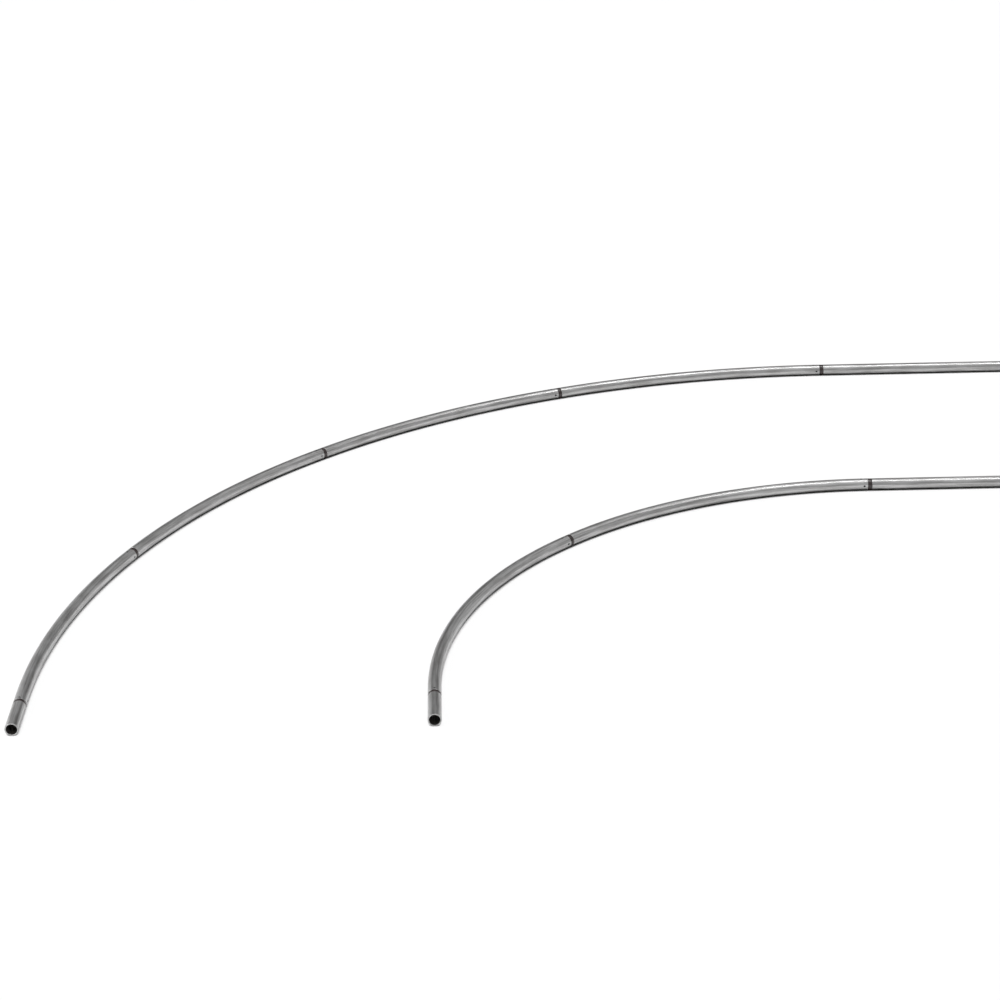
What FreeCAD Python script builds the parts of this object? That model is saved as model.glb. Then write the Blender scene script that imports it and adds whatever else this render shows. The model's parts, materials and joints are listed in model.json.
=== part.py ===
import FreeCAD, Part

import math
import os

# A curved camera dolly track: two round steel rails, each a chain of tube sections.
# A quarter turn of curved sections joins a short straight pair to a long straight pair.
# The first curved section of each rail ends in a short straight tail before the near pair.
# All sizes are in millimetres. +X runs along the far straight pair, +Y away from the
# near straight pair and +Z up. The origin is on the floor, at the middle of the layout.

Vector = FreeCAD.Vector
UP = Vector(0, 0, 1)

# Layout of the two rails
GAUGE = 1000.0
INNER_RADIUS = 1260.0
OUTER_RADIUS = INNER_RADIUS + GAUGE
CURVE_START = 90.0
CURVE_END = 180.0
OUTER_SECTIONS = 4
INNER_SECTIONS = 2
FAR_LENGTH = 1000.0
NEAR_TAIL = 42.0
NEAR_LENGTH = 120.0

# Rail tube
TUBE_DIAMETER = 33.4
TUBE_WALL = 3.4
TUBE_CHAMFER = 0.5
SOCKET_DEPTH = 55.0
SOCKET_OPENING = 0.2

# Ring between two sections
RING_WIDTH = 12.0
RING_STEP = 0.15
RING_CHAMFER = 0.3

# Spigot that joins two sections
SPIGOT_REACH = 40.0
SPIGOT_LAND = 10.0
SPIGOT_NOSE = 2.0

# Screws that hold a spigot in its section, counted from the middle of the ring
CROWN_SCREW_FROM_RING = 25.5
FLANK_SCREW_FROM_RING = 16.5
TAIL_CROWN_SCREW_FROM_RING = 13.0
TAIL_FLANK_SCREW_FROM_RING = 22.0
SCREW_DIAMETER = 3.0
SCREW_HEAD_DIAMETER = 6.0
SCREW_HEAD_HEIGHT = 1.7
SCREW_LENGTH = 12.0
HEX_KEY = 2.0
HEX_DEPTH = 1.2

# Spring-loaded ball that grips the next section
BALL_DIAMETER = 6.0
BALL_FROM_RING = 24.0
BALL_HOLE_TOP = 4.0
BALL_LIP_DIAMETER = 5.6
BALL_LIP_HEIGHT = 1.0
SPRING_WIRE = 0.6
SPRING_DIAMETER = 5.2
SPRING_TURNS = 7

# Clearances
SPIGOT_CLEARANCE = 0.10
RING_CLEARANCE = 0.10
BALL_CLEARANCE = 0.05
SPRING_CLEARANCE = 0.10
SCREW_CLEARANCE = 0.05

# Worked out from the sizes above
TUBE_RADIUS = TUBE_DIAMETER / 2
BORE_RADIUS = TUBE_RADIUS - TUBE_WALL
SOCKET_RADIUS = BORE_RADIUS + SOCKET_OPENING
HALF_RING = RING_WIDTH / 2
SPIGOT_RADIUS = SOCKET_RADIUS - SPIGOT_CLEARANCE
SPIGOT_HALF = HALF_RING + SPIGOT_REACH
LOW_X = -OUTER_RADIUS - TUBE_RADIUS
HIGH_X = HALF_RING + FAR_LENGTH
LOW_Y = -NEAR_TAIL - HALF_RING - NEAR_LENGTH
HIGH_Y = OUTER_RADIUS + TUBE_RADIUS
ARC_CENTRE = Vector(-(LOW_X + HIGH_X) / 2, -(LOW_Y + HIGH_Y) / 2, TUBE_RADIUS)


def direction(angle):
    """The level direction at an angle in degrees, counted anticlockwise from +X."""
    return Vector(math.cos(math.radians(angle)), math.sin(math.radians(angle)), 0)


def revolved(outline):
    """A solid of revolution about X, from (x, radius) points that start and end on the axis."""
    points = [Vector(x, 0, radius) for x, radius in outline]
    face = Part.Face(Part.makePolygon(points + points[:1]))
    return face.revolve(Vector(0, 0, 0), Vector(1, 0, 0), 360)


class Seam:
    """A joint between two sections, seen from the section that carries the spigot.

    In the seam's own frame the origin is the middle of the ring, +X points at the section
    that slides off, and +Z is up. side is the sign of Y towards the inside of the curve,
    and tail is how far past the curve's end the joint lies.
    """

    def __init__(self, rail_radius, angle, side, tail=0.0):
        self.side = side
        self.crown_screw = TAIL_CROWN_SCREW_FROM_RING if tail else CROWN_SCREW_FROM_RING
        self.flank_screw = TAIL_FLANK_SCREW_FROM_RING if tail else FLANK_SCREW_FROM_RING
        heading = angle + 90 * side
        self.place = FreeCAD.Placement(
            ARC_CENTRE + direction(angle) * rail_radius + direction(heading) * tail,
            FreeCAD.Rotation(UP, heading),
        )

    def put(self, shape):
        """The shape, moved from the seam's own frame to its place in the track."""
        placed = shape.copy()
        placed.Placement = self.place.multiply(placed.Placement)
        return placed


class Section:
    """A curved section between two seams of one rail, as an arc with a half ring at each end.

    In the section's own frame the arc's centre is the origin and the arc starts on +X. A
    straight tail may follow the arc's far end.
    """

    def __init__(self, rail_radius, low_angle, high_angle, tail=0.0):
        self.tail = tail
        self.sweep = high_angle - low_angle
        half_sweep = math.radians(self.sweep / 2)
        self.bend_radius = rail_radius - HALF_RING / math.tan(half_sweep)
        shift = (rail_radius - self.bend_radius) / math.cos(half_sweep)
        self.place = FreeCAD.Placement(
            ARC_CENTRE + direction(low_angle + self.sweep / 2) * shift,
            FreeCAD.Rotation(UP, low_angle),
        )

    def spot(self, angle, beyond=0.0):
        """A place on the tube's axis, at an angle along the arc and then straight beyond it."""
        return direction(angle) * self.bend_radius + direction(angle + 90) * beyond

    def wall(self, bore, angle, beyond=0.0):
        """The tube's cross section at a place on its axis."""
        disc, hole = (
            Part.Face(Part.Wire(Part.makeCircle(
                radius, self.spot(angle, beyond), direction(angle + 90))))
            for radius in (TUBE_RADIUS, bore)
        )
        return disc.cut(hole).Faces[0]

    def bent(self, bore, start, stop):
        """A stretch of bent tube between two angles along the arc."""
        return self.wall(bore, start).revolve(Vector(0, 0, 0), UP, stop - start)

    def straight(self, bore, start, stop):
        """A stretch of the straight tail between two distances past the arc's end."""
        along = direction(self.sweep + 90)
        return self.wall(bore, self.sweep, start).extrude(along * (stop - start))

    def tube(self):
        """The tube in its place, with its two ends opened up to the socket size."""
        first = math.degrees(SOCKET_DEPTH / self.bend_radius)
        last = self.sweep - math.degrees(max(SOCKET_DEPTH - self.tail, 0) / self.bend_radius)
        tail_socket = max(self.tail - SOCKET_DEPTH, 0)
        stretches = [self.bent(SOCKET_RADIUS, 0, first)]
        if last < self.sweep:
            stretches.append(self.bent(SOCKET_RADIUS, last, self.sweep))
        if tail_socket > 0:
            stretches.append(self.straight(BORE_RADIUS, 0, tail_socket))
        if self.tail > 0:
            stretches.append(self.straight(SOCKET_RADIUS, tail_socket, self.tail))
        tube = self.bent(BORE_RADIUS, first, last).fuse(stretches)
        tube = chamfered(tube, [self.spot(0), self.spot(self.sweep, self.tail)])
        tube.Placement = self.place
        return tube


def chamfered(tube, ends):
    """The tube with the edges at its two ends broken."""
    edges = [
        edge for edge in tube.Edges
        if any(edge.CenterOfMass.distanceToPoint(end) < TUBE_CHAMFER / 2 for end in ends)
    ]
    return tube.makeChamfer(TUBE_CHAMFER, edges)


def straight_tube(length):
    """A straight section in its seam's frame, with a socket at both ends."""
    start = Vector(HALF_RING, 0, 0)
    stop = Vector(HALF_RING + length, 0, 0)
    along = Vector(1, 0, 0)
    tube = Part.makeCylinder(TUBE_RADIUS, length, start, along)
    tube = tube.cut(Part.makeCylinder(BORE_RADIUS, length, start, along))
    for mouth in (start, stop - along * SOCKET_DEPTH):
        tube = tube.cut(Part.makeCylinder(SOCKET_RADIUS, SOCKET_DEPTH, mouth, along))
    return chamfered(tube, [start, stop])


def screw_places(seam):
    """Where the crown screw and the flank screw stand, each pointing in from the tube's face."""
    crown = FreeCAD.Placement(
        Vector(-seam.crown_screw, 0, 0), FreeCAD.Rotation(Vector(1, 0, 0), UP))
    flank = FreeCAD.Placement(
        Vector(-seam.flank_screw, 0, 0),
        FreeCAD.Rotation(Vector(1, 0, 0), Vector(0, seam.side, 0)))
    return [crown, flank]


def screw_top():
    """How far a screw's flat head stands from the tube's axis, its rim level with the face."""
    return math.sqrt(TUBE_RADIUS ** 2 - (SCREW_HEAD_DIAMETER / 2) ** 2) - SCREW_CLEARANCE


def countersunk(clearance, tip):
    """A countersunk screw's outline along X, grown by a clearance, with the rest of its tip."""
    top = screw_top()
    lowest = top - SCREW_LENGTH - clearance
    shank = SCREW_DIAMETER / 2 + clearance
    return revolved([
        (lowest, 0),
        (lowest, shank),
        (top - SCREW_HEAD_HEIGHT, shank),
        (top, SCREW_HEAD_DIAMETER / 2 + clearance),
    ] + tip)


def screw():
    """A countersunk socket screw along X, its head outwards."""
    top = screw_top()
    body = countersunk(0, [(top, 0)])
    corner = HEX_KEY / math.sqrt(3)
    hexagon = [
        Vector(top - HEX_DEPTH, corner * math.cos(turn), corner * math.sin(turn))
        for turn in (math.radians(60 * step) for step in range(6))
    ]
    key = Part.Face(Part.makePolygon(hexagon + hexagon[:1])).extrude(Vector(HEX_DEPTH, 0, 0))
    return body.cut(key)


def screw_hole():
    """The hole for a screw through the tube's wall and into the spigot."""
    outside = TUBE_RADIUS + TUBE_WALL
    return countersunk(
        SCREW_CLEARANCE,
        [(outside, SCREW_HEAD_DIAMETER / 2 + SCREW_CLEARANCE), (outside, 0)],
    )


def cut_screw_holes(shape, seam):
    """The shape without the seam's two screw holes."""
    for place in screw_places(seam):
        hole = screw_hole()
        hole.Placement = place
        shape = shape.cut(seam.put(hole))
    return shape


def screws(seam):
    """The crown screw and the flank screw of a seam."""
    solids = []
    for place in screw_places(seam):
        solid = screw()
        solid.Placement = place
        solids.append(seam.put(solid))
    return Part.makeCompound(solids)


def spigot(seam, tightest_bend):
    """The plug inside both tubes. It thins towards its ends, because the tubes bend away."""
    thinning = SPIGOT_REACH ** 2 / (2 * tightest_bend) + SPIGOT_CLEARANCE
    end_radius = SPIGOT_RADIUS - thinning
    land = HALF_RING + SPIGOT_LAND
    body = revolved([
        (-SPIGOT_HALF, 0),
        (-SPIGOT_HALF, end_radius - SPIGOT_NOSE),
        (-SPIGOT_HALF + SPIGOT_NOSE, end_radius),
        (-land, SPIGOT_RADIUS),
        (land, SPIGOT_RADIUS),
        (SPIGOT_HALF - SPIGOT_NOSE, end_radius),
        (SPIGOT_HALF, end_radius - SPIGOT_NOSE),
        (SPIGOT_HALF, 0),
    ])
    ball_hole = Part.makeCylinder(
        BALL_DIAMETER / 2 + BALL_CLEARANCE, BALL_HOLE_TOP - lip_top(),
        Vector(BALL_FROM_RING, 0, lip_top()))
    lip_hole = Part.makeCylinder(
        BALL_LIP_DIAMETER / 2, TUBE_RADIUS,
        Vector(BALL_FROM_RING, 0, lip_top() - TUBE_RADIUS))
    body = body.cut(ball_hole).cut(lip_hole)
    return cut_screw_holes(seam.put(body), seam)


def joint_ring(seam):
    """The flush ring round the spigot, between the ends of the two tubes."""
    radius = TUBE_RADIUS - RING_STEP
    ring = revolved([
        (-HALF_RING, 0),
        (-HALF_RING, radius - RING_CHAMFER),
        (-HALF_RING + RING_CHAMFER, radius),
        (HALF_RING - RING_CHAMFER, radius),
        (HALF_RING, radius - RING_CHAMFER),
        (HALF_RING, 0),
    ])
    hole = Part.makeCylinder(
        SPIGOT_RADIUS + RING_CLEARANCE, RING_WIDTH, Vector(-HALF_RING, 0, 0), Vector(1, 0, 0))
    return seam.put(ring.cut(hole))


def ball_middle():
    """The height of the ball's middle over the tube's axis, its tip just clear of the socket."""
    return -SOCKET_RADIUS + BALL_CLEARANCE + BALL_DIAMETER / 2


def lip_top():
    """The height of the lip that keeps the ball in its hole, over the tube's axis."""
    return -SPIGOT_RADIUS + BALL_LIP_HEIGHT


def detent_ball(seam):
    """The steel ball in the spigot's underside."""
    return seam.put(Part.makeSphere(BALL_DIAMETER / 2, Vector(BALL_FROM_RING, 0, ball_middle())))


def detent_spring(seam):
    """The coil spring between the ball and the top of its hole."""
    coil_radius = (SPRING_DIAMETER - SPRING_WIRE) / 2
    reach = (BALL_DIAMETER + SPRING_WIRE) / 2 + SPRING_CLEARANCE
    lowest = ball_middle() + math.sqrt(reach ** 2 - coil_radius ** 2)
    highest = BALL_HOLE_TOP - SPRING_WIRE / 2 - SPRING_CLEARANCE
    height = highest - lowest
    helix = Part.makeHelix(height / SPRING_TURNS, height, coil_radius)
    wire = Part.Wire(Part.makeCircle(
        SPRING_WIRE / 2, Vector(coil_radius, 0, 0), Vector(0, 1, 0)))
    spring = helix.makePipeShell([wire], True, True)
    spring.translate(Vector(BALL_FROM_RING, 0, lowest))
    return seam.put(spring)


def build_rail(rail, rail_radius, count):
    """Every piece of one rail by its name: straight ends, curved sections and their joints."""
    sweep = (CURVE_END - CURVE_START) / count
    sections = [
        Section(
            rail_radius, CURVE_END - (n + 1) * sweep, CURVE_END - n * sweep,
            0.0 if n else NEAR_TAIL)
        for n in range(count)
    ]
    near = Seam(rail_radius, CURVE_END, 1, NEAR_TAIL)
    seams = [near] + [
        Seam(rail_radius, CURVE_END - (n + 1) * sweep, -1) for n in range(count)
    ]
    pieces = {
        f"{rail}_near_straight_tube": near.put(straight_tube(NEAR_LENGTH)),
        f"{rail}_far_straight_tube": seams[-1].put(straight_tube(FAR_LENGTH)),
    }
    for n, section in enumerate(sections):
        tube = cut_screw_holes(section.tube(), seams[n + 1])
        if n == 0:
            tube = cut_screw_holes(tube, near)
        pieces[f"{rail}_curved_tube_{n + 1}"] = tube
    for number, seam in enumerate(seams, start=1):
        pieces[f"{rail}_spigot_{number}"] = spigot(seam, sections[0].bend_radius)
        pieces[f"{rail}_joint_ring_{number}"] = joint_ring(seam)
        pieces[f"{rail}_spigot_screws_{number}"] = screws(seam)
        pieces[f"{rail}_detent_ball_{number}"] = detent_ball(seam)
        pieces[f"{rail}_detent_spring_{number}"] = detent_spring(seam)
    return pieces


os.makedirs("parts", exist_ok=True)
track = build_rail("outer", OUTER_RADIUS, OUTER_SECTIONS)
track.update(build_rail("inner", INNER_RADIUS, INNER_SECTIONS))
for name, shape in track.items():
    shape.exportStep(f"parts/{name}.step")
    print(name, "solids", len(shape.Solids), "valid", shape.isValid(), "volume", round(shape.Volume, 1))
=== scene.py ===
"""The looks of a curved camera dolly track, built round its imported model. Lengths are in metres."""

import json
import logging
import math
from dataclasses import dataclass
from enum import Enum

import bpy
import numpy as np
from mathutils import Matrix, Vector


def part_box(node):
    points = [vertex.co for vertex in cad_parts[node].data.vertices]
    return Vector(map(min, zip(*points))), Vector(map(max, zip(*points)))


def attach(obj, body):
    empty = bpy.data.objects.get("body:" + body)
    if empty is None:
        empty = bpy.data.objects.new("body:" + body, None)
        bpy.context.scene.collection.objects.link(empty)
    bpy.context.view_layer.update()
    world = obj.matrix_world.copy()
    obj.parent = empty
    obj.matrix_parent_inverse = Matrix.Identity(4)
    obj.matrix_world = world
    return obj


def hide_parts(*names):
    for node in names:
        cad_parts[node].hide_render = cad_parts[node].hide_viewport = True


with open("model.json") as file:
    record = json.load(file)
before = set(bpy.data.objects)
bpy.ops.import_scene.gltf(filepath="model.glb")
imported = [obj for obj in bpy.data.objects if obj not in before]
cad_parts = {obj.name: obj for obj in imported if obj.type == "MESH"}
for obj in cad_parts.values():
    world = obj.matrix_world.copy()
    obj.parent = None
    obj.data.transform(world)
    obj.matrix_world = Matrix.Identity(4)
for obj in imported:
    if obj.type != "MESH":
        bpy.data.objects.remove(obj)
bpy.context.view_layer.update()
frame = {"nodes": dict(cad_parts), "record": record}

LAY = "lay"
TURN = "turn"
SHARP_ANGLE = math.radians(28)
TOOL_RING_PITCH = 0.00035
log = logging.getLogger("dolly_track")

Colour = tuple[float, float, float, float]
Triple = tuple[float, float, float]
Stops = tuple[tuple[float, float], ...]


class Signal:
    """A node's output socket that takes part in Python arithmetic."""

    def __init__(self, graph: "Graph", socket: bpy.types.NodeSocket) -> None:
        """Keeps the socket and the graph it belongs to."""
        self.graph = graph
        self.socket = socket

    def __add__(self, other: "Signal | float") -> "Signal":
        """The sum with another signal or a number."""
        return self.graph.math("ADD", self, other)

    def __sub__(self, other: "Signal | float") -> "Signal":
        """This signal less another signal or a number."""
        return self.graph.math("SUBTRACT", self, other)

    def __rsub__(self, other: float) -> "Signal":
        """A number less this signal."""
        return self.graph.math("SUBTRACT", other, self)

    def __mul__(self, other: "Signal | float") -> "Signal":
        """The product with another signal or a number."""
        return self.graph.math("MULTIPLY", self, other)

    def __truediv__(self, other: "Signal | float") -> "Signal":
        """This signal divided by another signal or a number."""
        return self.graph.math("DIVIDE", self, other)

    def __rtruediv__(self, other: float) -> "Signal":
        """A number divided by this signal."""
        return self.graph.math("DIVIDE", other, self)

    __radd__ = __add__
    __rmul__ = __mul__


class Graph:
    """A node tree that is being written, for a material, the world or a shape."""

    def __init__(self, tree: bpy.types.NodeTree) -> None:
        """Keeps the tree."""
        self.tree = tree

    def add(self, kind: str, settings: dict | None = None,
            values: dict | None = None) -> bpy.types.Node:
        """Adds a node.

        Args:
            kind: The node's type.
            settings: Its properties, or a ramp's stops, which are set first.
            values: A number, a colour or a signal for each socket, by name or place.

        Returns:
            The new node.
        """
        node = self.tree.nodes.new(kind)
        for name, setting in (settings or {}).items():
            if name == "stops":
                self._set_stops(node.color_ramp, setting)
            else:
                setattr(node, name, setting)
        for name, value in (values or {}).items():
            self.feed(node.inputs[name], value)
        return node

    def _set_stops(self, ramp: bpy.types.ColorRamp, stops: Stops) -> None:
        """Writes a ramp's stops, each a place and a grey level."""
        while len(ramp.elements) < len(stops):
            ramp.elements.new(1.0)
        for element, (place, level) in zip(ramp.elements, stops):
            element.position = place
            element.color = (level, level, level, 1.0)

    def feed(self, socket: bpy.types.NodeSocket, value: object) -> None:
        """Links a signal to a socket, or sets its value."""
        if isinstance(value, Signal):
            self.tree.links.new(value.socket, socket)
        else:
            socket.default_value = value

    def get(self, kind: str, settings: dict | None = None, values: dict | None = None,
            output: str | int = 0) -> Signal:
        """Adds a node and gives one of its outputs.

        Args:
            kind: The node's type.
            settings: Its properties.
            values: What its sockets take.
            output: The output's name or place.

        Returns:
            The output as a signal.
        """
        return Signal(self, self.add(kind, settings, values).outputs[output])

    def math(self, operation: str, *values: "Signal | float") -> Signal:
        """The result of one Math node."""
        return self.get("ShaderNodeMath", {"operation": operation}, dict(enumerate(values)))

    def vector(self, x: object = 0.0, y: object = 0.0, z: object = 0.0) -> Signal:
        """A vector from its three parts."""
        return self.get("ShaderNodeCombineXYZ", {}, {0: x, 1: y, 2: z})

    def ramp(self, value: Signal, stops: Stops) -> Signal:
        """A value passed through a ramp of grey levels."""
        return self.get("ShaderNodeValToRGB", {"stops": stops}, {"Fac": value})

    def blend(self, share: Signal, low: object, high: object) -> Signal:
        """A colour between two, by a share from 0 to 1."""
        return self.get("ShaderNodeMix", {"data_type": "RGBA"}, {0: share, 6: low, 7: high}, 2)


def grey(level: float, warmth: float = 0.0) -> Colour:
    """A grey, warmer above zero and cooler below."""
    return (level * (1 + warmth), level, level * (1 - warmth), 1.0)


@dataclass(frozen=True)
class Layer:
    """Noise in a finish: how fine it is along and across, and its shares in the finish."""

    scale: Triple
    detail: float = 2.0
    broken: float = 0.5
    tone: float = 0.0
    roughness: float = 0.0
    height: float = 0.0

    def noise(self, graph: Graph) -> Signal:
        """The noise from 0 to 1, laid on the piece as it was before it was bent or set."""
        lay = graph.get("ShaderNodeAttribute", {"attribute_name": LAY}, output="Vector")
        spot = graph.get("ShaderNodeVectorMath", {"operation": "MULTIPLY"}, {0: lay, 1: self.scale})
        return graph.get("ShaderNodeTexNoise", {}, {
            "Vector": spot, "Scale": 1.0, "Detail": self.detail, "Roughness": self.broken}, "Fac")


@dataclass(frozen=True)
class Finish:
    """A finish for one material slot of the record: two colours mixed by layers of noise.

    The smoothest roughness is the least one, and the bump is a strength with a distance.
    """

    name: str
    slot: str
    dark: Colour
    light: Colour
    layers: tuple[Layer, ...]
    smoothest: float
    bump: tuple[float, float]
    metallic: float = 1.0
    shine: float = 0.5
    stops: Stops = ((0.0, 0.0), (1.0, 1.0))

    def material(self) -> bpy.types.Material:
        """Makes the material with its nodes."""
        made = bpy.data.materials.new(self.name)
        made.use_nodes = True
        graph = Graph(made.node_tree)
        noises = [layer.noise(graph) for layer in self.layers]
        colour, roughness = self.look(graph, noises)
        height = self.mixed(noises, [layer.height for layer in self.layers])
        strength, distance = self.bump
        normal = graph.get("ShaderNodeBump", {}, {
            "Height": height, "Strength": strength, "Distance": distance}, "Normal")
        shader = made.node_tree.nodes["Principled BSDF"]
        for name, value in {
            "Base Color": colour, "Roughness": roughness, "Normal": normal,
            "Metallic": self.metallic, "Specular IOR Level": self.shine,
        }.items():
            graph.feed(shader.inputs[name], value)
        return made

    def mixed(self, noises: list[Signal], shares: list[float], base: float = 0.0) -> Signal:
        """The sum of a base and each noise by its share."""
        for noise, share in zip(noises, shares):
            if share:
                base = base + noise * share
        return base

    def look(self, graph: Graph, noises: list[Signal]) -> tuple[Signal, Signal]:
        """The colour and the roughness of the finish."""
        tone = self.mixed(noises, [layer.tone for layer in self.layers])
        roughness = self.mixed(noises, [layer.roughness for layer in self.layers], self.smoothest)
        return graph.blend(graph.ramp(tone, self.stops), self.dark, self.light), roughness


@dataclass(frozen=True)
class ScratchedFinish(Finish):
    """A finish with a few fine scratches over it."""

    scratched: Colour = grey(0.74)
    scratches: Layer = Layer((26.0, 2600.0, 2600.0), 1.0)
    scratch_stops: Stops = ((0.70, 0.0), (0.76, 1.0))
    scratch_strength: float = 0.35
    scratch_roughness: float = 0.06

    def look(self, graph: Graph, noises: list[Signal]) -> tuple[Signal, Signal]:
        """The colour and the roughness with the scratches over them."""
        colour, roughness = super().look(graph, noises)
        scratches = graph.ramp(self.scratches.noise(graph), self.scratch_stops)
        colour = graph.blend(scratches * self.scratch_strength, colour, self.scratched)
        return colour, roughness + scratches * self.scratch_roughness


class Finishes(Enum):
    """The finishes of the track's pieces."""

    # Satin steel, with drawing lines and streaks along it and soft stains
    TUBE = ScratchedFinish(
        "tube_steel", "rail_tube", grey(0.40, 0.01), grey(0.70), (
            Layer((9.0, 1500.0, 1500.0), 3.0, 0.6, tone=0.20, roughness=0.052, height=0.7),
            Layer((9.0, 280.0, 280.0), tone=0.55, height=0.3),
            Layer((16.0, 34.0, 34.0), 4.0, 0.6, tone=0.25, roughness=0.078),
        ), smoothest=0.27, bump=(0.10, 0.00006), stops=((0.40, 0.0), (0.60, 1.0)))
    # The duller inside of a tube, under a film of oil and dust
    BORE = Finish(
        "tube_bore", "rail_tube", grey(0.22, 0.05), grey(0.40, 0.03), (
            Layer((40.0, 90.0, 90.0), 4.0, 0.65, tone=1.0, roughness=0.25, height=1.0),
        ), smoothest=0.40, bump=(0.15, 0.0002), metallic=0.9)
    # Near-black red-brown plastic, turned glossy, with faint tool rings and dulled patches
    RING = Finish(
        "ring_plastic", "joint_ring", (0.018, 0.007, 0.007, 1.0), (0.040, 0.022, 0.020, 1.0), (
            Layer((5200.0, 8.0, 8.0), roughness=0.04, height=1.0),
            Layer((160.0, 160.0, 160.0), 4.0, 0.6, tone=1.0, roughness=0.12),
        ), smoothest=0.08, bump=(0.06, 0.00005), metallic=0.0, shine=0.9,
        stops=((0.45, 0.0), (0.75, 0.6)))
    # Bright aluminium from a lathe: fine rings round the axis and rub marks along it
    SPIGOT = Finish(
        "spigot_aluminium", "spigot", grey(0.60, -0.01), grey(0.80, -0.01), (
            Layer((1 / TOOL_RING_PITCH, 20.0, 20.0), 1.0, tone=0.5, roughness=0.10, height=1.0),
            Layer((30.0, 900.0, 900.0), 3.0, 0.6, tone=0.5, roughness=0.12),
        ), smoothest=0.22, bump=(0.25, 0.00004))
    # Blackened steel, its colour rubbed thin in spots
    SCREW = Finish(
        "screw_black", "spigot_screw", grey(0.035), grey(0.16, 0.04), (
            Layer((900.0, 900.0, 900.0), 4.0, 0.6, tone=1.0, roughness=0.2, height=1.0),
        ), smoothest=0.34, bump=(0.1, 0.00005), metallic=0.85, stops=((0.52, 0.0), (0.78, 0.7)))
    # Ground steel and drawn wire, each under a faint film of oil
    BALL = Finish(
        "ball_steel", "detent_ball", grey(0.68), grey(0.80), (
            Layer((500.0, 500.0, 500.0), 3.0, tone=1.0, roughness=0.12, height=1.0),
        ), smoothest=0.05, bump=(0.05, 0.00003))
    SPRING = Finish(
        "spring_wire", "detent_spring", grey(0.46), grey(0.58), (
            Layer((500.0, 500.0, 500.0), 3.0, tone=1.0, roughness=0.12, height=1.0),
        ), smoothest=0.24, bump=(0.05, 0.00003))


MATERIALS = {finish: finish.value.material() for finish in Finishes}


class Recipe:
    """A Geometry Nodes tree with named inputs, run once for each piece that it makes."""

    def __init__(self, name: str, inputs: dict[str, str]) -> None:
        """Makes the tree.

        Args:
            name: The tree's name.
            inputs: Each input's name and the kind of its socket.
        """
        self.tree = bpy.data.node_groups.new(name, "GeometryNodeTree")
        self.graph = Graph(self.tree)
        for label, kind in inputs.items():
            self.tree.interface.new_socket(label, in_out="INPUT", socket_type="NodeSocket" + kind)
        self.tree.interface.new_socket(
            "Geometry", in_out="OUTPUT", socket_type="NodeSocketGeometry")
        group = self.graph.add("NodeGroupInput")
        self.inputs = {label: Signal(self.graph, group.outputs[label]) for label in inputs}
        self.output = self.graph.add("NodeGroupOutput")

    def close(self, geometry: Signal, finish: Signal,
              patch: tuple[Signal, Signal] | None = None) -> None:
        """Realizes what the tree has made, gives it its material and sends it out.

        Args:
            geometry: What the tree has made.
            finish: Its material.
            patch: Where a second material goes, and that material, if there is one.
        """
        made = self.graph.get("GeometryNodeRealizeInstances", {}, {0: geometry})
        made = self.graph.get("GeometryNodeSetMaterial", {}, {0: made, "Material": finish})
        if patch:
            where, second = patch
            made = self.graph.get("GeometryNodeSetMaterial", {}, {
                0: made, "Selection": where, "Material": second})
        self.graph.feed(self.output.inputs[0], made)

    def bake(self, name: str, values: dict, base: bpy.types.Mesh | None = None) -> bpy.types.Object:
        """Runs the tree and keeps the result as a plain mesh.

        Args:
            name: The new object's name.
            values: A value for each named input.
            base: The mesh that the tree starts from, if it starts from one.

        Returns:
            An object at the origin, with no modifier.
        """
        piece = added(name, base or bpy.data.meshes.new(name))
        modifier = piece.modifiers.new(self.tree.name, "NODES")
        modifier.node_group = self.tree
        for item in self.tree.interface.items_tree:
            if item.in_out == "INPUT" and item.name in values:
                modifier[item.identifier] = values[item.name]
        return plain(piece)


def added(name: str, data: bpy.types.ID) -> bpy.types.Object:
    """Adds an object to the scene, at the origin."""
    made = bpy.data.objects.new(name, data)
    bpy.context.scene.collection.objects.link(made)
    return made


def plain(piece: bpy.types.Object) -> bpy.types.Object:
    """Turns an object's modifiers into its own mesh."""
    graph = bpy.context.evaluated_depsgraph_get()
    mesh = bpy.data.meshes.new_from_object(
        piece.evaluated_get(graph), preserve_all_data_layers=True, depsgraph=graph)
    piece.modifiers.clear()
    piece.data = mesh
    mesh.name = piece.name
    return piece


def points_of(mesh: bpy.types.Mesh) -> np.ndarray:
    """The mesh's points, one in each row."""
    points = np.empty(len(mesh.vertices) * 3)
    mesh.vertices.foreach_get("co", points)
    return points.reshape(-1, 3)


def facing_out(mesh: bpy.types.Mesh) -> None:
    """Turns a closed mesh right side out and smooths it between its edges."""
    mesh.calc_loop_triangles()
    corners = np.empty(len(mesh.loop_triangles) * 3, int)
    mesh.loop_triangles.foreach_get("vertices", corners)
    a, b, c = points_of(mesh)[corners].reshape(-1, 3, 3).transpose(1, 0, 2)
    if np.einsum("ij,ij->i", a, np.cross(b, c)).sum() < 0:
        mesh.flip_normals()
    mesh.shade_smooth()
    mesh.set_sharp_from_angle(angle=SHARP_ANGLE)


def keep_lay(mesh: bpy.types.Mesh, places: np.ndarray) -> None:
    """Keeps at each point its place along and across the piece, for the finishes."""
    old = mesh.attributes.get(LAY)
    if old:
        mesh.attributes.remove(old)
    lay = mesh.attributes.new(LAY, "FLOAT_VECTOR", "POINT")
    lay.data.foreach_set("vector", places.ravel())


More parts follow.
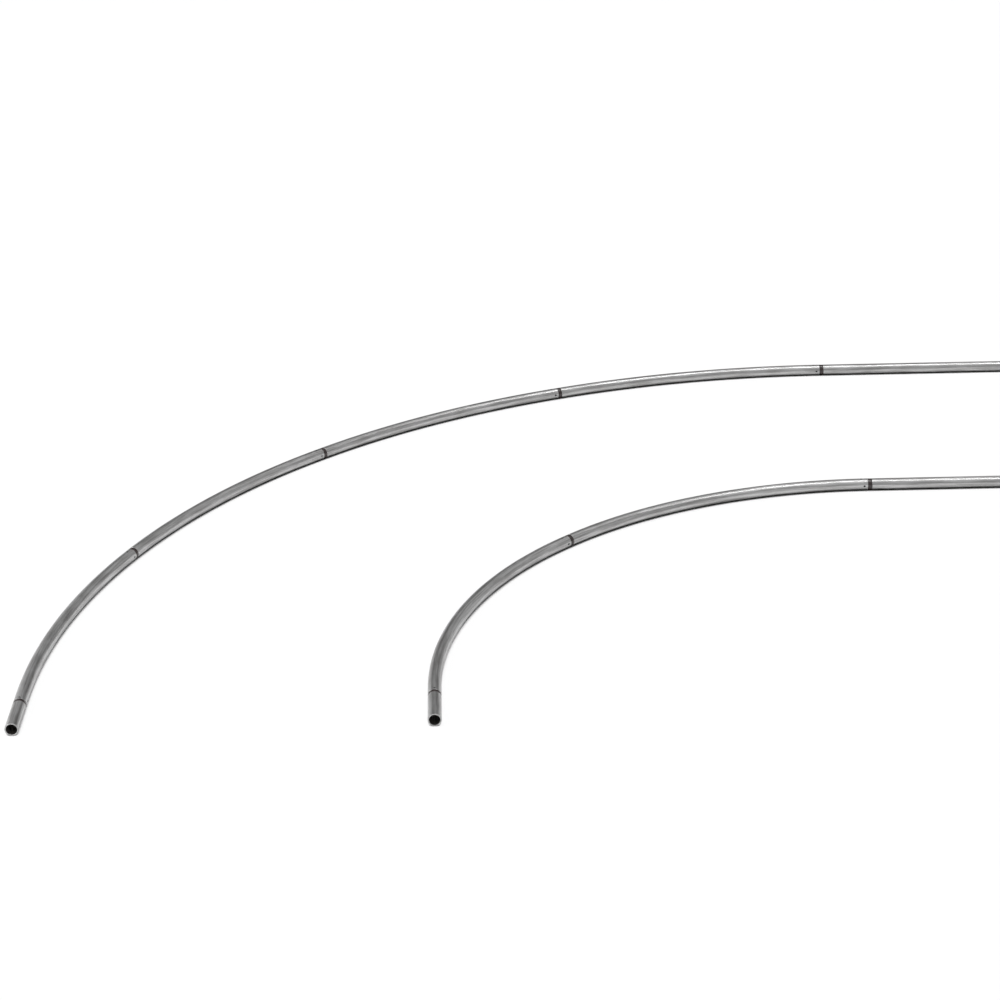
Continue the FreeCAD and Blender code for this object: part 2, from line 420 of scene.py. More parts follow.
def turned(name: str, outline: list[tuple[float, float]], sides: int, finish: Finishes,
           looped: bool = False) -> bpy.types.Object:
    """A lathe-turned part along X, a piece of its own or a pattern for others.

    Args:
        name: The part's name.
        outline: Places along the axis with their radius. A radius of zero closes the end.
        sides: How many faces go round.
        finish: The part's finish.
        looped: Whether the outline closes on itself, as round a ring.

    Returns:
        The part, with its place along and across the axis kept at each point.
    """
    points, rows, faces = [], [], []
    for along, radius in outline:
        count = sides if radius else 1
        rows.append([len(points) + (k % count) for k in range(sides)])
        for k in range(count):
            turn = 2 * math.pi * k / sides
            points.append((along, radius * math.cos(turn), radius * math.sin(turn)))
    pairs = list(zip(rows, rows[1:])) + ([(rows[-1], rows[0])] if looped else [])
    for low, high in pairs:
        for k in range(sides):
            after = (k + 1) % sides
            face = [low[k], high[k], high[after], low[after]]
            faces.append(list(dict.fromkeys(face)))
    mesh = bpy.data.meshes.new(name)
    mesh.from_pydata(points, [], faces)
    keep_lay(mesh, np.array(points))
    mesh.materials.append(MATERIALS[finish])
    facing_out(mesh)
    return added(name, mesh)


def drop(part: bpy.types.Object) -> None:
    """Deletes an object that was only a pattern or a cutter."""
    bpy.data.objects.remove(part)


def facing(angle: float) -> Vector:
    """The level direction at an angle."""
    return Vector((math.cos(angle), math.sin(angle), 0))


@dataclass(frozen=True)
class Seam:
    """A joint of one rail, with its X towards the section that slides off."""

    rail: str
    number: int
    centre: Vector
    heading: float
    side: int

    def place(self, along: float) -> Vector:
        """A place on the seam's axis."""
        return self.centre + facing(self.heading) * along

    def node(self, kind: str) -> str:
        """The name of one of the seam's nodes."""
        return f"{self.rail}_{kind}_{self.number}"


@dataclass(frozen=True)
class Section:
    """One tube of a rail: where its own frame is set, how far it runs and how it bends.

    A bent tube may end in a straight tail, which its length counts too.
    """

    node: str
    body: str
    place: Vector
    turn: float
    length: float
    curvature: float = 0.0
    tail: float = 0.0

    @property
    def arc(self) -> float:
        """How far the tube runs before its tail."""
        return self.length - self.tail


class Rail:
    """One rail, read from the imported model: its seams and its sections."""

    def __init__(self, name: str) -> None:
        """Works out the rail's layout from the boxes of its nodes."""
        self.name = name
        near_low, near_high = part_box(f"{name}_near_straight_tube")
        far_low, far_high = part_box(f"{name}_far_straight_tube")
        ring_low, ring_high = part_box(f"{name}_joint_ring_1")
        self.tube_radius = (near_high.z - near_low.z) / 2
        self.half_ring = (ring_high.y - ring_low.y) / 2
        centre_x = far_low.x - self.half_ring
        self.radius = centre_x - (near_low.x + near_high.x) / 2
        centre_y = (far_low.y + far_high.y) / 2 - self.radius
        self.centre = Vector((centre_x, centre_y, self.tube_radius))
        self.tail = centre_y - self.half_ring - near_high.y
        self.count = sum(node.startswith(f"{name}_curved_tube_") for node in frame["nodes"])
        self.sweep = math.pi / 2 / self.count
        self.near_length = near_high.y - near_low.y
        self.far_length = far_high.x - far_low.x

    def seams(self) -> list[Seam]:
        """The rail's joints, from the near end to the far end."""
        found = []
        for number in range(self.count + 1):
            angle = math.pi - number * self.sweep
            side = -1 if number else 1
            heading = angle + side * math.pi / 2
            spot = self.centre + facing(angle) * self.radius
            if number == 0:
                spot += facing(heading) * self.tail
            found.append(Seam(self.name, number + 1, spot, heading, side))
        return found

    def sections(self) -> list[Section]:
        """The rail's tubes, curved ones first."""
        bend = self.radius - self.half_ring / math.tan(self.sweep / 2)
        shift = (self.radius - bend) / math.cos(self.sweep / 2)
        found = []
        for number in range(1, self.count + 1):
            low = math.pi - number * self.sweep
            middle = self.centre + facing(low + self.sweep / 2) * shift
            tail = self.tail if number == 1 else 0.0
            node = f"{self.name}_curved_tube_{number}"
            length = bend * self.sweep + tail
            found.append(Section(node, body_of(node), middle, low, length, 1 / bend, tail))
        seams = self.seams()
        ends = [("near", seams[0], self.near_length), ("far", seams[-1], self.far_length)]
        for end, seam, length in ends:
            node = f"{self.name}_{end}_straight_tube"
            start = seam.place(self.half_ring)
            found.append(Section(node, body_of(node), start, seam.heading - math.pi / 2, length))
        return found


def body_of(node: str) -> str:
    """The body that a node belongs to."""
    bodies = frame["record"]["behaviour"]["bodies"]
    return next(body for body, nodes in bodies.items() if node in nodes)


@dataclass
class ScrewSet:
    """The countersunk screws that hold each spigot: one on the crown, one on the flank.

    The rim's points are counted down from the head's top and in from its edge, in edge widths,
    as is the drop of the dish round the key hole. The dish's radii are counted in key radii.
    """

    tube_radius: float
    crown_from_ring: float = 0.0255
    flank_from_ring: float = 0.0165
    tail_crown_from_ring: float = 0.013
    tail_flank_from_ring: float = 0.022
    head_radius: float = 0.003
    head_height: float = 0.0017
    shank_radius: float = 0.0015
    length: float = 0.012
    key_radius: float = 0.001155
    key_depth: float = 0.0012
    clearance: float = 0.00005
    edge: float = 0.00025
    rim: Stops = ((1.0, 0.6), (0.3, 0.4), (0.0, 1.0))
    dish_rim: float = 1.6
    dish_floor: float = 1.3
    dish_drop: float = 0.4
    key_point: float = 0.4
    hole_reach: float = 1.15
    sides: int = 48
    key_sides: int = 6

    @property
    def top(self) -> float:
        """How far the flat head stands from the tube's axis."""
        return math.sqrt(self.tube_radius ** 2 - self.head_radius ** 2) - self.clearance

    def seats(self, seam: Seam) -> list[tuple[Vector, Triple]]:
        """Where the seam's screws stand on the tube's axis, and how each is turned."""
        crown, flank = self.crown_from_ring, self.flank_from_ring
        if seam.number == 1:
            crown, flank = self.tail_crown_from_ring, self.tail_flank_from_ring
        return [
            (seam.place(-crown), (0.0, -math.pi / 2, seam.heading)),
            (seam.place(-flank), (0.0, 0.0, seam.heading + seam.side * math.pi / 2)),
        ]

    def hole(self) -> bpy.types.Object:
        """The countersunk hole as a solid, for cutting the tubes."""
        grown = self.clearance
        neck = self.top - self.head_height
        outside = self.tube_radius * self.hole_reach
        return turned("screw_hole", [
            (self.top - self.length, 0.0),
            (self.top - self.length, self.shank_radius + grown),
            (neck, self.shank_radius + grown),
            (self.top, self.head_radius + grown),
            (outside, self.head_radius + grown),
            (outside, 0.0),
        ], self.sides, Finishes.TUBE)

    def screw(self) -> bpy.types.Object:
        """A screw with a rounded rim and a hexagonal key hole."""
        neck = self.top - self.head_height
        head = self.head_radius
        body = turned("screw", [
            (self.top - self.length, 0.0),
            (self.top - self.length, self.shank_radius),
            (neck, self.shank_radius),
            *((self.top - self.edge * down, head - self.edge * into) for down, into in self.rim),
            (self.top, self.key_radius * self.dish_rim),
            (self.top - self.edge * self.dish_drop, self.key_radius * self.dish_floor),
            (self.top - self.edge * self.dish_drop, 0.0),
        ], self.sides, Finishes.SCREW)
        key = turned("screw_key", [
            (self.top - self.key_depth - self.key_radius * self.key_point, 0.0),
            (self.top - self.key_depth, self.key_radius),
            (self.top + self.edge, self.key_radius),
            (self.top + self.edge, 0.0),
        ], self.key_sides, Finishes.SCREW)
        cut_away(body, key)
        drop(key)
        return body


def cut_away(piece: bpy.types.Object, cutter: bpy.types.Object) -> None:
    """Cuts one closed mesh out of another."""
    modifier = piece.modifiers.new("cut", "BOOLEAN")
    modifier.operation = "DIFFERENCE"
    modifier.solver = "EXACT"
    modifier.object = cutter
    plain(piece)


def seam_pattern() -> Recipe:
    """The recipe that sets one part at each point of a mesh, turned as its point says."""
    recipe = Recipe("seam_pattern", {
        "Geometry": "Geometry", "Part": "Object", "Finish": "Material"})
    graph, given = recipe.graph, recipe.inputs
    part = graph.get("GeometryNodeObjectInfo", {}, {"Object": given["Part"]}, "Geometry")
    turn = graph.get("GeometryNodeInputNamedAttribute", {"data_type": "FLOAT_VECTOR"},
                     {"Name": TURN})
    rotation = graph.get("FunctionNodeEulerToRotation", {}, {0: turn})
    placed = graph.get("GeometryNodeInstanceOnPoints", {}, {
        "Points": given["Geometry"], "Instance": part, "Rotation": rotation})
    recipe.close(placed, given["Finish"])
    return recipe


class TubeRecipe(Recipe):
    """The recipe of a tube: a wall's outline carried round its axis, bent, with a straight tail."""

    INPUTS = {
        "Length": "Float", "Arc": "Float", "Curvature": "Float", "Tube Radius": "Float",
        "Bore Radius": "Float", "Socket Radius": "Float", "Socket Depth": "Float",
        "Chamfer": "Float", "Step": "Float", "Sides": "Int", "Place": "Vector", "Turn": "Float",
        "Outside": "Material", "Inside": "Material",
    }
    LEAST_CURVATURE = 1e-6
    INNER_MARGIN = 0.25

    def __init__(self) -> None:
        """Writes the tree."""
        super().__init__("bent_tube", self.INPUTS)
        graph, given = self.graph, self.inputs
        index = graph.get("GeometryNodeInputIndex")
        loop, kept = self._wall(index)
        circle = graph.get("GeometryNodeCurvePrimitiveCircle", {}, {"Resolution": given["Sides"]})
        circle, angle = self._remember(circle, "FLOAT", index * (2 * math.pi) / given["Sides"])
        tube = graph.get("GeometryNodeCurveToMesh", {}, {"Curve": circle, "Profile Curve": loop})
        split = graph.add("ShaderNodeSeparateXYZ", {}, {0: kept})
        along, radius = Signal(graph, split.outputs[0]), Signal(graph, split.outputs[1])
        tube = graph.get("GeometryNodeSetPosition", {}, {
            "Geometry": tube, "Position": self._bent(along, radius, angle)})
        tube = graph.get("GeometryNodeTransform", {}, {
            "Geometry": tube, "Translation": given["Place"],
            "Rotation": graph.vector(z=given["Turn"])})
        edge = given["Socket Radius"] + given["Chamfer"] * self.INNER_MARGIN
        inner = graph.get("FunctionNodeCompare", {"operation": "LESS_THAN"}, {0: radius, 1: edge})
        self.close(tube, given["Outside"], (inner, given["Inside"]))

    def _outline(self) -> list[tuple[Signal | float, Signal]]:
        """The corners of the wall's outline, each a place along the tube and a radius."""
        given = self.inputs
        length, depth, chamfer = given["Length"], given["Socket Depth"], given["Chamfer"]
        outer, bore, socket = given["Tube Radius"], given["Bore Radius"], given["Socket Radius"]
        return [
            (chamfer, outer), (length - chamfer, outer), (length, outer - chamfer),
            (length, socket + chamfer), (length - chamfer, socket), (length - depth, socket),
            (length - depth, bore), (depth, bore), (depth, socket),
            (chamfer, socket), (0.0, socket + chamfer), (0.0, outer - chamfer),
        ]

    def _pick(self, index: Signal, values: list[Signal | float]) -> Signal:
        """The value at a point's own number."""
        node = self.graph.add("GeometryNodeIndexSwitch", {"data_type": "FLOAT"})
        while len(node.index_switch_items) < len(values):
            node.index_switch_items.new()
        self.graph.feed(node.inputs[0], index)
        for number, value in enumerate(values, start=1):
            self.graph.feed(node.inputs[number], value)
        return Signal(self.graph, node.outputs[0])

    def _remember(self, geometry: Signal, kind: str, value: Signal) -> tuple[Signal, Signal]:
        """Keeps a value at each point, and gives the geometry and the kept value."""
        node = self.graph.add("GeometryNodeCaptureAttribute", {"domain": "POINT"})
        node.capture_items.new(kind, "Kept")
        self.graph.feed(node.inputs[0], geometry)
        self.graph.feed(node.inputs[1], value)
        return Signal(self.graph, node.outputs[0]), Signal(self.graph, node.outputs[1])

    def _wall(self, index: Signal) -> tuple[Signal, Signal]:
        """The wall's outline as a closed curve in short steps, with each point's place kept."""
        graph, outline = self.graph, self._outline()
        spot = graph.vector(*(self._pick(index, list(parts)) for parts in zip(*outline)))
        loop = graph.get("GeometryNodeCurvePrimitiveCircle", {}, {"Resolution": len(outline)})
        loop = graph.get("GeometryNodeSetPosition", {}, {"Geometry": loop, "Position": spot})
        here = graph.get("GeometryNodeInputPosition")
        following = graph.math("MODULO", index + 1.0, float(len(outline)))
        there = graph.get("GeometryNodeFieldAtIndex", {"data_type": "FLOAT_VECTOR"},
                          {"Index": following, "Value": here})
        stride = graph.get("ShaderNodeVectorMath", {"operation": "DISTANCE"},
                           {0: here, 1: there}, "Value")
        cuts = graph.math("FLOOR", stride / self.inputs["Step"])
        loop = graph.get("GeometryNodeSubdivideCurve", {}, {"Curve": loop, "Cuts": cuts})
        return self._remember(loop, "VECTOR", here)

    def _bent(self, along: Signal, radius: Signal, angle: Signal) -> Signal:
        """Where a point of the straight wall comes to lie once the tube is bent."""
        graph, arc, curvature = self.graph, self.inputs["Arc"], self.inputs["Curvature"]
        across, height = radius * graph.math("COSINE", angle), radius * graph.math("SINE", angle)
        reach = 1.0 / graph.math("MAXIMUM", curvature, self.LEAST_CURVATURE) + across
        bend = graph.math("MINIMUM", along, arc) * curvature
        beyond = graph.math("MAXIMUM", along - arc, 0.0)
        cosine, sine = graph.math("COSINE", bend), graph.math("SINE", bend)
        bent = graph.vector(
            reach * cosine - beyond * sine, reach * sine + beyond * cosine, height)
        straight = graph.vector(across, along, height)
        is_bent = graph.get("FunctionNodeCompare", {"operation": "GREATER_THAN"},
                            {0: curvature, 1: self.LEAST_CURVATURE})
        return graph.get("GeometryNodeSwitch", {"input_type": "VECTOR"},
                         {"Switch": is_bent, "False": straight, "True": bent})


def spring_recipe() -> Recipe:
    """The recipe of a coil spring that stands on its lowest coil."""
    recipe = Recipe("coil_spring", {
        "Coil Radius": "Float", "Wire Radius": "Float", "Height": "Float", "Turns": "Float",
        "Steps": "Int", "Sides": "Int", "Place": "Vector", "Finish": "Material"})
    graph, given = recipe.graph, recipe.inputs
    coil = graph.get("GeometryNodeCurveSpiral", {}, {
        "Resolution": given["Steps"], "Rotations": given["Turns"], "Height": given["Height"],
        "Start Radius": given["Coil Radius"], "End Radius": given["Coil Radius"]})
    wire = graph.get("GeometryNodeCurvePrimitiveCircle", {}, {
        "Resolution": given["Sides"], "Radius": given["Wire Radius"]})
    mesh = graph.get("GeometryNodeCurveToMesh", {}, {
        "Curve": coil, "Profile Curve": wire, "Fill Caps": True})
    mesh = graph.get("GeometryNodeTransform", {}, {"Geometry": mesh, "Translation": given["Place"]})
    recipe.close(mesh, given["Finish"])
    return recipe


@dataclass
class TubeWorks:
    """Makes and dresses the tube of every section."""

    screws: ScrewSet
    pattern: Recipe
    wall: float = 0.0034
    socket_opening: float = 0.0002
    socket_depth: float = 0.055
    chamfer: float = 0.0005
    step: float = 0.012
    sides: int = 96
    pattern_shift: float = 2.7

    def __post_init__(self) -> None:
        """Writes the recipe that all tubes share."""
        self.recipe = TubeRecipe()

    def build(self, section: Section, tube_radius: float, held: list[Seam], number: int) -> None:
        """Makes one tube and dresses it.

        Args:
            section: Where the tube runs.
            tube_radius: Its outer radius.
            held: The seams whose spigots are screwed into it.
            number: Its place in the track, so that no two tubes look alike.
        """
        bore = tube_radius - self.wall
        tube = self.recipe.bake(f"{section.node}_look", {
            "Length": section.length, "Arc": section.arc, "Curvature": section.curvature,
            "Tube Radius": tube_radius, "Bore Radius": bore,
            "Socket Radius": bore + self.socket_opening, "Socket Depth": self.socket_depth,
            "Chamfer": self.chamfer, "Step": self.step, "Sides": self.sides,
            "Place": section.place, "Turn": section.turn,
            "Outside": MATERIALS[Finishes.TUBE], "Inside": MATERIALS[Finishes.BORE]})
        facing_out(tube.data)
        if held:
            self._drill(tube, held)
        self._lay_out(tube.data, section, number * self.pattern_shift)
        dress(tube, section.body, [section.node])

    def _drill(self, tube: bpy.types.Object, held: list[Seam]) -> None:
        """Cuts the screw holes of the spigots that the tube holds."""
        hole = self.screws.hole()
        cutter = set_out(self.pattern, "cutter", hole, Finishes.TUBE,
                         [seat for seam in held for seat in self.screws.seats(seam)])
        cut_away(tube, cutter)
        facing_out(tube.data)
        drop(cutter)
        drop(hole)

    def _lay_out(self, mesh: bpy.types.Mesh, section: Section, shift: float) -> None:
        """Keeps at each point its place along and across the tube before it was bent."""
        unturned = np.array(Matrix.Rotation(section.turn, 3, "Z"))
        local = (points_of(mesh) - np.array(section.place)) @ unturned
        if section.curvature:
            bend = section.arc * section.curvature
            beyond = local[:, :2] @ np.array((-math.sin(bend), math.cos(bend)))
            reach = local[:, :2] @ np.array((math.cos(bend), math.sin(bend)))
            angle = np.arctan2(local[:, 1], local[:, 0])
            in_tail = (beyond > 0) & (angle > 0)
            reach = np.where(in_tail, reach, np.hypot(local[:, 0], local[:, 1]))
            across = reach - 1 / section.curvature
            along = np.where(in_tail, section.arc + beyond, angle / section.curvature)
        else:
            across, along = local[:, 0], local[:, 1]
        keep_lay(mesh, np.stack([along + shift, across, local[:, 2]], 1))


def set_out(pattern: Recipe, name: str, part: bpy.types.Object, finish: Finishes,
            seats: list[tuple[Vector, Triple]]) -> bpy.types.Object:
    """Sets copies of a part on their seats, as one mesh."""
    base = bpy.data.meshes.new(name)
    base.from_pydata([tuple(spot) for spot, _ in seats], [], [])
    turn = base.attributes.new(TURN, "FLOAT_VECTOR", "POINT")
    turn.data.foreach_set("vector", np.array([angles for _, angles in seats]).ravel())
    piece = pattern.bake(name, {"Part": part, "Finish": MATERIALS[finish]}, base)
    facing_out(piece.data)
    return piece


def dress(piece: bpy.types.Object, body: str, nodes: list[str]) -> None:
    """Ties a finished piece to its body and the nodes that it stands for."""
    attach(piece, body)
    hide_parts(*nodes)
    log.info("%s on %s: %d faces", piece.name, body, len(piece.data.polygons))


@dataclass
class JointWorks:
    """Makes and dresses the spigots, rings and screws of the joints.

    Each round has one point in its middle, counted in shares of the round: along and in.
    """

    screws: ScrewSet
    pattern: Recipe
    half_ring: float
    tube_radius: float
    ring_step: float = 0.00015
    ring_edge: float = 0.0003
    ring_edge_middle: float = 0.3
    ring_bore_gap: float = 0.0001
    reach: float = 0.040
    land: float = 0.010
    thinning: float = 0.00074
    nose: float = 0.002
    nose_middle: tuple[float, float] = (0.4, 0.25)
    sides: int = 96

    def build(self, body: str, seams: list[Seam]) -> None:
        """Makes the pieces of all joints whose spigots one body holds.

        Args:
            body: The body that holds the spigots.
            seams: Its seams.
        """
        spigot_low, spigot_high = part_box(seams[0].node("spigot"))
        radius = (spigot_high.z - spigot_low.z) / 2
        level = [(seam.centre, (0.0, 0.0, seam.heading)) for seam in seams]
        screw_seats = [seat for seam in seams for seat in self.screws.seats(seam)]
        kinds = [
            ("spigot", self._spigot(radius), Finishes.SPIGOT, level),
            ("joint_ring", self._ring(radius), Finishes.RING, level),
            ("spigot_screws", self.screws.screw(), Finishes.SCREW, screw_seats),
        ]
        for kind, part, finish, seats in kinds:
            piece = set_out(self.pattern, f"{body}_{kind}_look", part, finish, seats)
            dress(piece, body, [seam.node(kind) for seam in seams])
            drop(part)

    def _spigot(self, radius: float) -> bpy.types.Object:
        """A spigot with a full middle, thinner ends and rounded noses."""
        half = self.half_ring + self.reach
        land = self.half_ring + self.land
        tip = radius - self.thinning
        along, inward = self.nose_middle
        right = [
            (land, radius),
            (half - self.nose, tip),
            (half - self.nose * along, tip - self.nose * inward),
            (half, tip - self.nose),
            (half, 0.0),
        ]
        left = [(-place, size) for place, size in reversed(right)]
        return turned("spigot", left + right, self.sides, Finishes.SPIGOT)

    def _ring(self, spigot_radius: float) -> bpy.types.Object:
        """A joint ring with rounded rims."""
        half, edge = self.half_ring, self.ring_edge
        middle = edge * self.ring_edge_middle
        outer, inner = self.tube_radius - self.ring_step, spigot_radius + self.ring_bore_gap
        return turned("ring", [
            (-half, outer - edge), (-half + middle, outer - middle), (-half + edge, outer),
            (half - edge, outer), (half - middle, outer - middle), (half, outer - edge),
            (half, inner), (-half, inner),
        ], self.sides, Finishes.RING, looped=True)


@dataclass
class DetentWorks:
    """Makes and dresses the ball and the spring in each spigot."""

    ball_rows: int = 32
    coil_radius: float = 0.0023
    wire_radius: float = 0.0003
    turns: float = 7.0
    steps: int = 168
    wire_sides: int = 12

    def __post_init__(self) -> None:
        """Writes the recipe that all springs share."""
        self.recipe = spring_recipe()

    def build(self, seam: Seam) -> None:
        """Makes the ball and the spring of one joint."""
        self._ball(seam)
        self._spring(seam)

    def _ball(self, seam: Seam) -> None:
        """A polished ball in its place."""
        node = seam.node("detent_ball")
        low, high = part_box(node)
        radius = (high.z - low.z) / 2
        outline = []
        for row in range(self.ball_rows + 1):
            angle = math.pi * row / self.ball_rows
            size = radius * math.sin(angle) if 0 < row < self.ball_rows else 0.0
            outline.append((-radius * math.cos(angle), size))
        ball = turned(f"{node}_look", outline, 2 * self.ball_rows, Finishes.BALL)
        ball.data.transform(Matrix.Translation((low + high) / 2))
        dress(ball, body_of(node), [node])

    def _spring(self, seam: Seam) -> None:
        """A coil spring in its place."""
        node = seam.node("detent_spring")
        low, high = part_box(node)
        middle = (low + high) / 2
        spring = self.recipe.bake(f"{node}_look", {
            "Coil Radius": self.coil_radius, "Wire Radius": self.wire_radius,
            "Height": high.z - low.z - 2 * self.wire_radius, "Turns": self.turns,
            "Steps": self.steps, "Sides": self.wire_sides,
            "Place": Vector((middle.x, middle.y, low.z + self.wire_radius)),
            "Finish": MATERIALS[Finishes.SPRING]})
        facing_out(spring.data)
        keep_lay(spring.data, points_of(spring.data))
        dress(spring, body_of(node), [node])


@dataclass(frozen=True)
class Viewpoint:
    """Where the camera stands, counted from the middle of the curve, and how it looks."""

    left: float = 1.09454
    back: float = 5.56270
    height: float = 2.77880
    heading: float = -0.018597
    pitch: float = 0.388891
    roll: float = -0.014139
    focal_length_px: float = 2540.0
    picture_px: float = 1000.0
    sensor_mm: float = 36.0
    clip_near: float = 0.1
    clip_far: float = 200.0

    def camera(self, middle: Vector) -> None:
        """Makes the scene's camera.

        Args:
            middle: The middle of the track's curve, on the floor.
        """
        data = bpy.data.cameras.new("camera")
        data.sensor_width = self.sensor_mm
        data.lens = self.focal_length_px * self.sensor_mm / self.picture_px
        data.clip_start, data.clip_end = self.clip_near, self.clip_far
        camera = added("camera", data)
        around = Matrix.Rotation(self.heading, 4, "Z")
        spot = middle + around @ Vector((-self.left, -self.back, self.height))
        down = Matrix.Rotation(math.pi / 2 - self.pitch, 4, "X")
        camera.matrix_world = (
            Matrix.Translation(spot) @ around @ down @ Matrix.Rotation(self.roll, 4, "Z"))
        bpy.context.scene.camera = camera


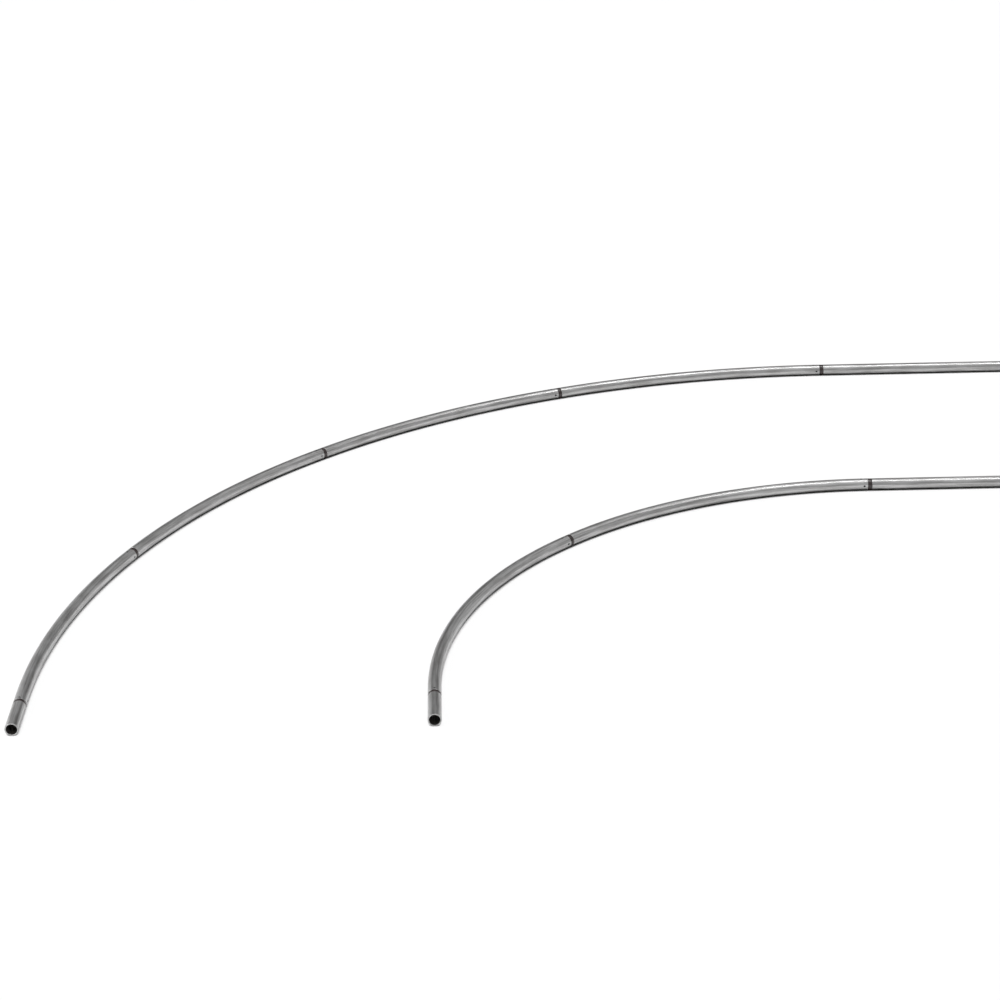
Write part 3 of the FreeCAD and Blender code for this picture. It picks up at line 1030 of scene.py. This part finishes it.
@dataclass
class Studio:
    """A plain pale floor under soft light: a strip overhead, a grey room, a lamp on the left.

    The floor is painted darker close to what stands on it, a painted contact shadow, by its openness,
    which runs from 0 to 1. A dim card behind the track is only seen mirrored.
    """

    floor_half: float = 40.0
    floor_grey: float = 0.80
    white_share: float = 0.85
    mirrored_share: float = 0.32
    white_level: float = 1.08
    open_reach: float = 0.05
    open_samples: int = 8
    # Ramps from openness to the painted contact shadow on the floor: as the camera sees it, and as it
    # is mirrored
    seen_painted_shadow_stops: Stops = ((0.12, 0.0), (0.28, 0.08), (0.39, 0.60), (0.48, 1.0))
    mirrored_painted_shadow_stops: Stops = ((0.20, 0.0), (0.36, 0.06), (0.48, 0.40), (0.62, 0.90), (0.75, 1.0))
    room_stops: Stops = (
        (0.0, 0.48), (0.17, 0.43), (0.40, 0.40), (0.68, 0.46),
        (0.84, 0.60), (0.94, 0.80), (1.0, 0.90))
    strip_level: float = 8.0
    strip_middle: float = 0.10
    strip_ends: Stops = ((0.35, 1.0), (0.45, 0.0))
    strip_edges: Stops = ((0.03, 1.0), (0.06, 0.0))
    card_level: float = 0.03
    card_low: Triple = (-2.26, 2.95, 0.8)
    card_high: Triple = (1.50, 2.95, 2.0)
    lamp_spot: Triple = (-4.6, -0.6, 2.6)
    lamp_aim: Triple = (-0.6, 0.0, 0.0)
    lamp_size: tuple[float, float] = (3.0, 2.0)
    lamp_power: float = 60.0

    def build(self) -> None:
        """Makes the floor, the room, the card and the lamp."""
        self._floor()
        self._room()
        self._card()
        self._lamp()

    def _sheet(self, name: str, corners: list[Triple]) -> tuple[bpy.types.Object, Graph]:
        """A flat sheet of the studio, with an empty material to write."""
        mesh = bpy.data.meshes.new(name)
        mesh.from_pydata(corners, [], [(0, 1, 2, 3)])
        sheet = added(name, mesh)
        material = bpy.data.materials.new(name)
        material.use_nodes = True
        material.node_tree.nodes.clear()
        mesh.materials.append(material)
        return sheet, Graph(material.node_tree)

    def _floor(self) -> None:
        """A level floor that is seen nearly white, keeps the shadows and is painted darker close to
        what stands on it.
        """
        half = self.floor_half
        _, graph = self._sheet("floor", [
            (-half, -half, 0.0), (half, -half, 0.0), (half, half, 0.0), (-half, half, 0.0)])
        paths = graph.add("ShaderNodeLightPath")
        camera, glossy, clear = (
            Signal(graph, paths.outputs[name])
            for name in ("Is Camera Ray", "Is Glossy Ray", "Is Transmission Ray"))
        # Openness by ambient occlusion, ramped into the painted contact shadow
        openness = graph.get("ShaderNodeAmbientOcclusion", {"samples": self.open_samples}, {
            "Distance": self.open_reach}, "AO")
        openness = (camera * graph.ramp(openness, self.seen_painted_shadow_stops)
                    + (1.0 - camera) * graph.ramp(openness, self.mirrored_painted_shadow_stops))
        share = (camera * self.white_share + (glossy + clear) * self.mirrored_share) * openness
        seen = camera + glossy + clear
        real = graph.get("ShaderNodeBsdfDiffuse", {}, {"Color": grey(self.floor_grey)})
        # Painted contact shadow: where the floor is closed in, it is mixed towards black, for the
        # camera and for what shines
        black = graph.get("ShaderNodeBsdfDiffuse", {}, {"Color": grey(0.0)})
        closed = seen * (1.0 - openness)
        floor_with_painted_shadow = graph.get("ShaderNodeMixShader", {}, {0: closed, 1: real, 2: black})
        white = graph.get("ShaderNodeEmission", {}, {
            "Color": grey(1.0), "Strength": self.white_level})
        surface = graph.get("ShaderNodeMixShader", {}, {0: share, 1: floor_with_painted_shadow, 2: white})
        graph.add("ShaderNodeOutputMaterial", {}, {"Surface": surface})

    def _card(self) -> None:
        """A dim card behind the track, seen only in what shines."""
        (left, behind, low), (right, _, high) = self.card_low, self.card_high
        card, graph = self._sheet("card", [
            (left, behind, low), (right, behind, low), (right, behind, high), (left, behind, high)])
        dim = graph.get("ShaderNodeEmission", {}, {"Color": grey(1.0), "Strength": self.card_level})
        graph.add("ShaderNodeOutputMaterial", {}, {"Surface": dim})
        card.visible_camera = card.visible_diffuse = card.visible_shadow = False

    def _room(self) -> None:
        """White behind the object, and for what shines a grey room with a strip light overhead."""
        world = bpy.data.worlds.new("studio")
        bpy.context.scene.world = world
        world.use_nodes = True
        world.node_tree.nodes.clear()
        graph = Graph(world.node_tree)
        direction = graph.get("ShaderNodeTexCoord", output="Generated")
        split = graph.add("ShaderNodeSeparateXYZ", {}, {0: direction})
        brightest = max(level for _, level in self.room_stops)
        stops = tuple((height, level / brightest) for height, level in self.room_stops)
        across, away, height = (Signal(graph, part) for part in split.outputs)
        room = graph.ramp(height, stops) * brightest
        ends = graph.ramp(graph.math("ABSOLUTE", across - self.strip_middle), self.strip_ends)
        edges = graph.ramp(graph.math("ABSOLUTE", away), self.strip_edges)
        overhead = graph.math("GREATER_THAN", height, 0.0)
        room = room + ends * edges * overhead * self.strip_level
        camera = graph.get("ShaderNodeLightPath", output="Is Camera Ray")
        strength = camera + (1.0 - camera) * room
        surface = graph.get("ShaderNodeBackground", {}, {
            "Color": grey(1.0), "Strength": strength})
        graph.add("ShaderNodeOutputWorld", {}, {"Surface": surface})

    def _lamp(self) -> None:
        """A soft lamp on the left that faces the track."""
        data = bpy.data.lights.new("softbox", "AREA")
        data.shape = "RECTANGLE"
        data.size, data.size_y = self.lamp_size
        data.energy = self.lamp_power
        lamp = added("softbox", data)
        lamp.location = self.lamp_spot
        ray = Vector(self.lamp_aim) - Vector(self.lamp_spot)
        lamp.rotation_euler = ray.to_track_quat("-Z", "Y").to_euler()


class Track:
    """The whole track: two rails with their tubes and joints."""

    def __init__(self) -> None:
        """Reads both rails and sets up the works."""
        self.rails = [Rail("outer"), Rail("inner")]
        self.tube_radius = self.rails[0].tube_radius
        self.screws = ScrewSet(self.tube_radius)
        self.pattern = seam_pattern()

    def holders(self) -> dict[str, list[Seam]]:
        """Each body that holds spigots, with its seams."""
        found: dict[str, list[Seam]] = {}
        for rail in self.rails:
            for seam in rail.seams():
                found.setdefault(body_of(seam.node("spigot")), []).append(seam)
        return found

    def build(self) -> None:
        """Makes every tube and every joint."""
        holders = self.holders()
        tubes = TubeWorks(self.screws, self.pattern)
        number = 0
        for rail in self.rails:
            for section in rail.sections():
                number += 1
                held = [
                    seam for seam in holders.get(section.body, [])
                    if seam.rail == rail.name and section.curvature
                ]
                tubes.build(section, rail.tube_radius, held, number)
        half_ring = self.rails[0].half_ring
        joints = JointWorks(self.screws, self.pattern, half_ring, self.tube_radius)
        for body, seams in holders.items():
            joints.build(body, seams)
        detents = DetentWorks()
        for seams in holders.values():
            for seam in seams:
                detents.build(seam)


def main() -> None:
    """Builds the track, its studio and the camera."""
    logging.basicConfig(level=logging.INFO, format="%(name)s: %(message)s")
    bpy.context.scene.view_settings.view_transform = "Standard"
    track = Track()
    track.build()
    curve = track.rails[0].centre
    middle = Vector((curve.x, curve.y, 0.0))
    Studio().build()
    Viewpoint().camera(middle)


if __name__ == "__main__":
    main()
